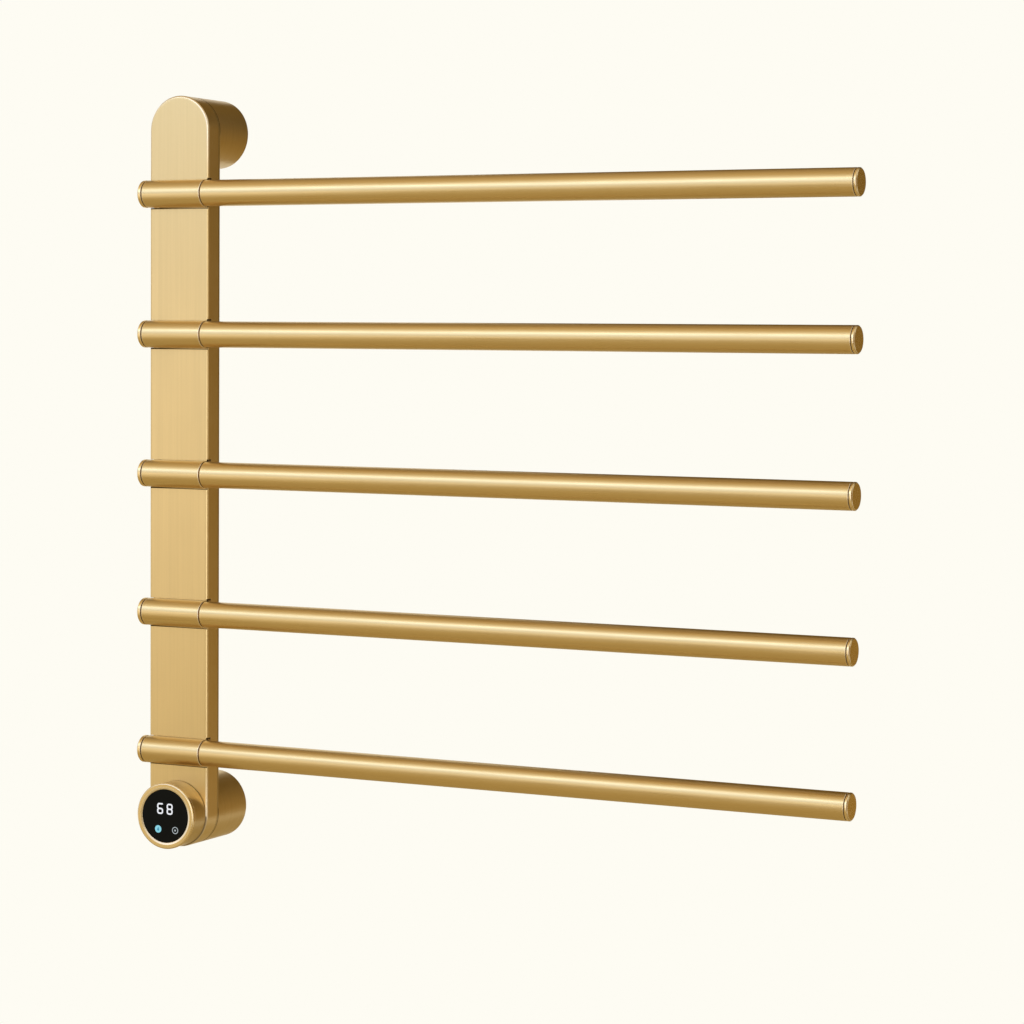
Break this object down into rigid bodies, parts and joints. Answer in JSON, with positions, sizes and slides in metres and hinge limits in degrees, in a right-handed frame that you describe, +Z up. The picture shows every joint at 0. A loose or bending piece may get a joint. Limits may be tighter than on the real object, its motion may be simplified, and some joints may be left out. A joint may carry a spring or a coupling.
{
  "type": "heated towel rail",
  "caption": "Wall-mounted electric heated towel rail: a flat brushed-gold post with horizontal bars that swing forward and a round dial control with a digital display.",
  "frame": {"origin": "on the wall plane, midway between the axes of the upper and lower standoffs", "axes": "+X right along the wall, along the bars; +Y into the wall; +Z up"},
  "size_m": [0.5534, 0.0726, 0.55],
  "materials": {
    "brushed_gold": "brushed, gold toned coating",
    "polished_gold": "fine turned, gold toned coating",
    "dark_gold": "brushed, gold toned coating",
    "steel": "plain",
    "alloy": "machined",
    "bush_bronze": "plain",
    "heater_steel": "oxidised",
    "black_glass": "gloss",
    "black_plastic": "matte",
    "pale_plastic": "matte",
    "blue_plastic": "matte",
    "board_green": "lacquered",
    "rubber": "matte"
  },
  "bodies": {
    "post": {"post_shell": "brushed_gold", "head_housing": "brushed_gold", "post_back_cover": "dark_gold", "upper_standoff": "dark_gold", "lower_standoff": "dark_gold", "back_cover_screws": "steel", "hinge_pins": "steel", "upper_wall_plate": "steel", "lower_wall_plate": "steel", "grub_screws": "steel", "standoff_bolts": "steel", "dial_clip": "steel", "board_screws": "steel", "head_screws": "steel", "saddle_blocks": "alloy", "upper_anchor_block": "alloy", "lower_anchor_block": "alloy", "display_glass": "black_glass", "wiring_loom": "black_plastic", "thermal_sensor": "black_plastic", "terminal_block": "pale_plastic", "board_spacers": "pale_plastic", "display_module": "pale_plastic", "power_relay": "blue_plastic", "control_board": "board_green", "display_board": "board_green", "cable_grommet": "rubber"},
    "arm_1": {"arm_root_1": "brushed_gold", "root_cap_1": "polished_gold", "arm_tube_1": "brushed_gold", "end_cap_1": "polished_gold", "arm_heater_1": "heater_steel", "hinge_bush_1": "bush_bronze"},
    "arm_2": {"arm_root_2": "brushed_gold", "root_cap_2": "polished_gold", "arm_tube_2": "brushed_gold", "end_cap_2": "polished_gold", "arm_heater_2": "heater_steel", "hinge_bush_2": "bush_bronze"},
    "arm_3": {"arm_root_3": "brushed_gold", "root_cap_3": "polished_gold", "arm_tube_3": "brushed_gold", "end_cap_3": "polished_gold", "arm_heater_3": "heater_steel", "hinge_bush_3": "bush_bronze"},
    "arm_4": {"arm_root_4": "brushed_gold", "root_cap_4": "polished_gold", "arm_tube_4": "brushed_gold", "end_cap_4": "polished_gold", "arm_heater_4": "heater_steel", "hinge_bush_4": "bush_bronze"},
    "arm_5": {"arm_root_5": "brushed_gold", "root_cap_5": "polished_gold", "arm_tube_5": "brushed_gold", "end_cap_5": "polished_gold", "arm_heater_5": "heater_steel", "hinge_bush_5": "bush_bronze"},
    "dial": {"dial_ring": "polished_gold", "dial_magnets": "steel"}
  },
  "joints": [
    {"name": "arm_swing_1", "type": "hinge", "parent": "post", "child": "arm_1", "pos_m": [-0.02, -0.051, 0.204], "axis": [0, 0, -1], "range_deg": [0, 90]},
    {"name": "arm_swing_2", "type": "hinge", "parent": "post", "child": "arm_2", "pos_m": [-0.02, -0.051, 0.102], "axis": [0, 0, -1], "range_deg": [0, 90]},
    {"name": "arm_swing_3", "type": "hinge", "parent": "post", "child": "arm_3", "pos_m": [-0.02, -0.051, 0], "axis": [0, 0, -1], "range_deg": [0, 90]},
    {"name": "arm_swing_4", "type": "hinge", "parent": "post", "child": "arm_4", "pos_m": [-0.02, -0.051, -0.102], "axis": [0, 0, -1], "range_deg": [0, 90]},
    {"name": "arm_swing_5", "type": "hinge", "parent": "post", "child": "arm_5", "pos_m": [-0.02, -0.051, -0.204], "axis": [0, 0, -1], "range_deg": [0, 90]},
    {"name": "dial_turn", "type": "hinge", "parent": "post", "child": "dial", "pos_m": [0, -0.0711, -0.25], "axis": [0, 1, 0], "continuous": true}
  ]
}
